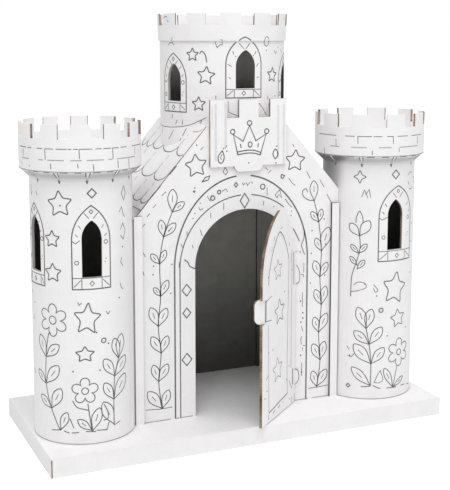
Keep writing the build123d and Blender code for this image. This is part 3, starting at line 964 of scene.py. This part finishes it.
def print_keep():
    """Stars and window surrounds on the keep, the front one running over the band."""
    x, y, radius = axis_of("keep_tube")
    ink = Print("print_keep", round_surface(x, y, radius))
    band_low, band_high = corners("keep_collar")
    spots = [vertex.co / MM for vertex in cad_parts["keep_collar"].data.vertices]
    band_foot = max(hypot(spot.x - x, spot.y - y) for spot in spots if spot.z < band_low.z + 0.5)
    band_top = max(hypot(spot.x - x, spot.y - y) for spot in spots)
    for arc, z, size, turn in ((-80.5, 542, 10, 0), (-60, 513, 14, 5), (-71, 473, 11, 0), (45, 513, 11.5, 5)):
        star(ink, (arc, z), size, turn, waist=0.45)
    front = arch_points(-5, 27, 482, 528, 567)
    for way in (-1, 1):
        ink.line([p for p in front if p[1] < band_low.z and way * (p[0] + 5) > 0])
    ink.line([(-32, 482), (22, 482)])
    marks(ink, [
        (-32, 494, 22, 493.5), (-20, 494, -20, 482), (9, 493, 9, 482), (-30, 485, -22, 492),
        (19, 484.5, 10.5, 492), (-13, 558, -6, 550.5), (3, 558, -3, 550.5), (-22, 547, -21, 543),
        (13, 547, 11, 543), (-29, 529, -24, 526), (17, 530, 14, 526), (-28, 511, -25, 509),
        (18, 511, 15, 510), (-129, 555, -124, 559, -118, 559, -114, 555),
        (-47, 560, -44, 552, -40, 556, -37, 556, -37, 560), (-46, 485, -46, 481), (35, 483, 35, 479),
        (50, 548, 53, 543, 56, 546), (70, 549, 75, 545), (-119, 457, -120, 451), (-98, 449, -98, 443),
        (-108, 449, -112, 443), (-66, 450, -69, 446), (-150, 437, -157, 427),
        (-116.5, 434, -124, 425, -129, 420), (-91, 438, -98, 427), (-101, 423, -109, 412),
    ])
    dots(ink, [(-18, 540), (9, 541), (-5, 564)], 0.8)
    diamond(ink, (-6, 488.5), 2.8, 1.1, FINE)
    for middle in (-116, 88):
        surround(ink, middle, 25, 461, 505, 544, 13.5, 473.5)
    curves(ink, [(-69, 544, -66, 547, -61, 542, -59, 532)], PLAIN)
    curves(ink, [
        (-172, 441, -150, 438, -128, 438, -111, 439, -95, 441, -80, 445, -60, 454),
        (27.5, 561, 28, 557, 32, 554, 36, 557, 36.5, 561),
    ], FINE)
    dots(ink, [(32, 548), (53, 483), (61, 552), (85, 551)], 1.0)
    band_surface = cone_surface(x, y, (band_foot, band_low.z), (band_top, band_high.z))
    band = Print("print_keep_band", band_surface, CONE_SPAN)
    band.line([p for p in front if p[1] >= band_low.z])
    marks(band, [
        (-122, 562, -120, 566), (-41, 563, -38, 562.5), (27.5, 562, 29, 566, 32, 567.5, 35, 566, 36.5, 562),
        (-140, 594, -136, 596, -131, 595), (-131, 591, -128, 588), (75, 594, 78, 593),
    ])


def print_crest():
    """The crown, its jewels and the drops beside it on the crest plate, and soft bands of painted shade where
    its flutes show.
    """
    ink = Print("print_crest", upright_surface(crest_low.y), FLAT_SPAN)
    marks(ink, [
        (-6, 406, -12, 431, 3, 421, 13, 443, 23, 421, 39, 430, 31, 404), (-6, 406, -5, 402),
        (31, 404, 30, 400.5), (-1, 417, 0, 412), (27, 417, 26, 412),
    ], PLAIN)
    curves(ink, [
        (-6, 406, 4, 407.5, 13, 408, 22, 407, 31, 404), (-5, 402, 4, 403.5, 13, 404, 22, 403, 30, 400.5),
        (-29, 409, -35, 401, -34, 393, -29, 392, -26, 400, -29, 409),
    ], PLAIN)
    for ball in ((-13, 435), (13, 446.5), (40, 434)):
        ring(ink, ball, 3.4, PLAIN)
    ring(ink, (14, 416), 3.0, PLAIN, 1.25)
    ink.line(smooth([(54, 408), (50, 401), (54, 394), (58, 401)], closed=True))
    dots(ink, [(-27, 412), (-22, 408), (56, 412), (55, 388), (12, 390)], 1.1)
    marks(ink, [
        (-20, 478, -20, 463), (-20, 463, -13, 460, -5, 457), (28, 474, 34, 466, 39, 457), (43, 473, 44, 458),
        (-29, 404, -32, 399, -30, 396), (-22, 416, -25, 412),
    ])
    # Soft grey bands: painted shade of the flutes and creases in the crest plate
    soft = Print("crest_flute_painted_shade", upright_surface(crest_low.y), FLAT_SPAN, flute_painted_shade)
    for x, top, bottom, width in (
        (-39, 474, 396, 3.2), (-24, 476, 416, 3.0), (-44, 470, 440, 1.6), (58, 470, 396, 2.6),
        (67, 472, 386, 2.4),
    ):
        soft.line([(x, top), (x + 0.4, bottom)], width)


def print_roof():
    """Rows of round tiles on both slopes."""
    rows = (
        (40, 13, (128, 109, 82, 40, -14)), (85, 14, (131, 92, 51, -3, -50)), (130, 8, (92, 50, 8, -25, -50)),
    )
    for name, side in (("left", -1), ("right", 1)):
        ink = Print(f"print_roof_{name}", roof_surface(side), ROOF_SPAN)
        for top, depth, joints in rows:
            for start, end in zip(joints, joints[1:]):
                ink.line(oval(((start + end) / 2, top), (start - end) / 2, depth, 12, 0, 180))
            for y in joints[1:]:
                marks(ink, [(y, top - 1, y - 1, top - 14), (y - 2, top - 20, y - 2, top - 27)])
        ink.line([(-14, 40), (-20, 48), (-30, 53), (-42, 54), (-49, 51)])
        marks(ink, [(-20, 9, -26, 12, -38, 11, -48, 6)])


def print_leaf():
    """A tall arch with stars on the door leaf, and lines round its pull tab."""
    ink = Print("print_leaf", leaf_surface(), FLAT_SPAN)
    curves(ink, [
        (62.5, 295.5, 71.5, 290.5, 79, 282, 86, 273, 91.5, 265, 95, 257, 98.5, 249, 102, 238, 103, 227),
        (62.5, 295.5, 54.5, 290.5, 45.5, 282, 37.5, 270.5, 31.5, 259, 27.5, 250),
    ], PLAIN)
    ink.line([(29.5, 49), (99, 41.6)])
    marks(ink, [(84, 36, 77, 38.5), (65, 38, 58, 40), (100, 40, 100.5, 32), (47, 40, 45, 41)], SLIM)
    for middle, size, width in (((69, 242), 16, FINE), ((62, 180), 20, SLIM), ((68, 96), 19.5, FINE)):
        star(ink, middle, size, 4, waist=0.45, width=width)
    marks(ink, [
        (112, 205, 92.5, 209), (112, 177, 92, 174.5), (60, 299, 53, 301), (28, 274, 26, 268),
        (19.5, 257, 19, 244), (81, 292, 86, 286), (91, 278, 93, 272), (111, 93, 102, 97),
        (23, 66, 17, 57.5, 11, 51), (22, 39, 20, 36), (12, 38, 12, 30), (1.5, 40, 1, 28.5), (16, 262, 16, 84),
        (103, 170, 102, 134, 100, 61, 99.5, 42), (27.5, 250, 28, 205, 30, 170, 31, 130, 31.5, 85, 29.5, 49),
    ])
    dots(ink, [
        (98.5, 248), (104, 238), (15, 231), (102, 130), (33, 71), (24, 89), (107, 76), (114, 67), (44, 205),
        (86, 130),
    ], 1.3)
    ink.line([(112.5, 206), (112.5, 177)], 3.2)
    ink.line([(8.4, 256), (7.2, 208)], BOLD)
    ink.line([(9.4, 80), (8.8, 57)], 2.8)
    tabs = Print("print_hinge_tabs", upright_surface(TAB_FACE), FLAT_SPAN)
    curves(tabs, [
        (90.5, 234.5, 93.5, 231, 96, 224, 96.7, 216, 94.8, 209, 90, 206.5),
        (90.5, 76, 94.3, 74.5, 96, 69.5, 96.5, 62, 93.7, 55.5, 90, 53),
    ], FINE)


def show_base_edge():
    """The raw end of the base's left skirt, seen at the front corner."""
    low, high = corners("base_tray")
    edge = Print("base_corner_edge", upright_surface(low.y), FLAT_SPAN, kraft_x)
    edge.line([(low.x + 1.0, low.z + 1.5), (low.x + 1.0, high.z - 2.0)], 1.9)


print_wall()
print_left_tower()
print_right_tower()
print_collars()
print_keep()
print_crest()
print_roof()
print_leaf()
show_base_edge()
tube_foot_shadow("left", -150, 66)
tube_foot_shadow("right", -66, 150)
for printed in prints:
    printed.make()
dress_towers()
dress_house()


# Stage, light and camera

def build_floor():
    """A pale floor, pure white to the camera away from the castle's shadow."""
    mesh = bpy.data.meshes.new("floor")
    square = [(x * FLOOR_HALF_M, y * FLOOR_HALF_M, 0) for x, y in ((-1, -1), (1, -1), (1, 1), (-1, 1))]
    mesh.from_pydata(square, [], [(0, 1, 2, 3)])
    add_object("floor", mesh)
    material, tree, shader = new_material("floor_paper", roughness=0.9, specular=0.1)
    feed(tree, shader, {"Base Color": (0.9, 0.9, 0.9, 1)})
    plain = shader.outputs[0]
    glow = add_node(tree, "Emission", {"Strength": 0.6}).outputs[0]
    brighter = add_node(tree, "AddShader", {0: plain, 1: glow}).outputs[0]
    seen = add_node(tree, "LightPath").outputs["Is Camera Ray"]
    surface = add_node(tree, "MixShader", {"Fac": seen, 1: plain, 2: brighter}).outputs[0]
    feed(tree, tree.nodes["Material Output"], {"Surface": surface})
    mesh.materials.append(material)


def build_world():
    """Even white light, with a pure white background to the camera and in reflections."""
    world = bpy.data.worlds.new("studio")
    bpy.context.scene.world = world
    world.use_nodes = True
    tree = world.node_tree
    seen = add_node(tree, "LightPath").outputs
    either = calculate(tree, "MAXIMUM", seen["Is Camera Ray"], seen["Is Glossy Ray"])
    inputs = {"Factor": either, "A": WORLD_LEVEL, "B": 1.0}
    strength = add_node(tree, "Mix", inputs, data_type="FLOAT").outputs["Result"]
    feed(tree, tree.nodes["Background"], {"Color": (1, 1, 1, 1), "Strength": strength})


def add_light(name, place, target, power):
    """A square soft light aimed at a point; place and target in metres."""
    data = bpy.data.lights.new(name, "AREA")
    data.size = LIGHT_SIZE_M
    data.energy = power
    light = add_object(name, data)
    light.location = place
    light.rotation_euler = (Vector(target) - Vector(place)).to_track_quat("-Z", "Y").to_euler()


def build_camera():
    """The photograph's view."""
    data = bpy.data.cameras.new("camera")
    data.lens = CAMERA_LENS
    data.sensor_width = CAMERA_SENSOR
    data.shift_y = CAMERA_SHIFT_Y
    data.clip_end = CAMERA_END_M
    camera = add_object("camera", data)
    camera.location = Vector(CAMERA_PLACE) * MM
    camera.rotation_euler = (radians(90 - CAMERA_PITCH), 0, radians(-CAMERA_YAW))
    bpy.context.scene.camera = camera


build_floor()
build_world()
add_light("key", (-0.4, -1.5, 3.4), (0, 0, 0.1), power=57)
add_light("fill", (0.9, -3.1, 0.7), (0, 0, 0.2), power=3)
build_camera()
bpy.context.scene.view_settings.view_transform = "Standard"
